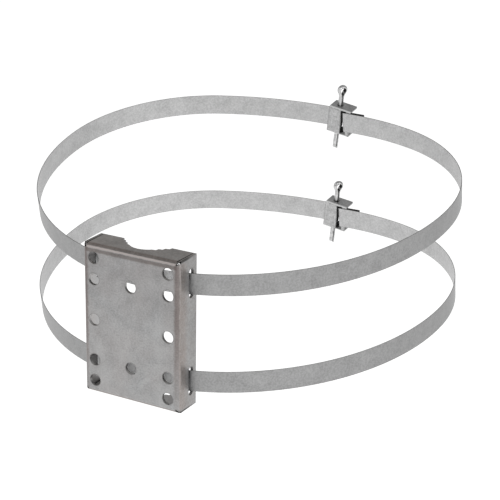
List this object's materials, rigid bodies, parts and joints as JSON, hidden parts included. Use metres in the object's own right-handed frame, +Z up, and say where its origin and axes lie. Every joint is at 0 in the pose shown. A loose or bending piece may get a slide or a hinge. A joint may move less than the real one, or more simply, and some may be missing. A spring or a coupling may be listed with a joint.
{
  "type": "pole mount bracket",
  "caption": "Folded steel pole bracket, a shallow box with a pattern of fixing holes and a toothed notch, held to a pole by steel band straps with slotted locks and split pins.",
  "frame": {"origin": "middle of the front plate's outer face, the centre of the fixing hole pattern", "axes": "+Y from the front plate towards the pole, +Z up along the pole, +X to the right seen from the front"},
  "size_m": [0.4107, 0.3806, 0.2096],
  "materials": {
    "bracket_steel": "satin",
    "strap_steel": "satin",
    "lock_steel": "satin",
    "pin_steel": "satin"
  },
  "bodies": {
    "bracket": {"bracket_body": "bracket_steel", "upper_strap": "strap_steel", "lower_strap": "strap_steel", "upper_lock": "lock_steel", "lower_lock": "lock_steel"},
    "upper_pin": {"upper_split_pin": "pin_steel"},
    "lower_pin": {"lower_split_pin": "pin_steel"}
  },
  "joints": [
    {"name": "upper_pin_turn", "type": "hinge", "parent": "bracket", "child": "upper_pin", "pos_m": [0.01014, 0.36834, 0.10642], "axis": [0.1735, -0.1713, 0.9698], "continuous": true},
    {"name": "lower_pin_turn", "type": "hinge", "parent": "bracket", "child": "lower_pin", "pos_m": [0.00891, 0.37033, 0.00381], "axis": [0.1514, -0.1364, 0.979], "continuous": true}
  ]
}
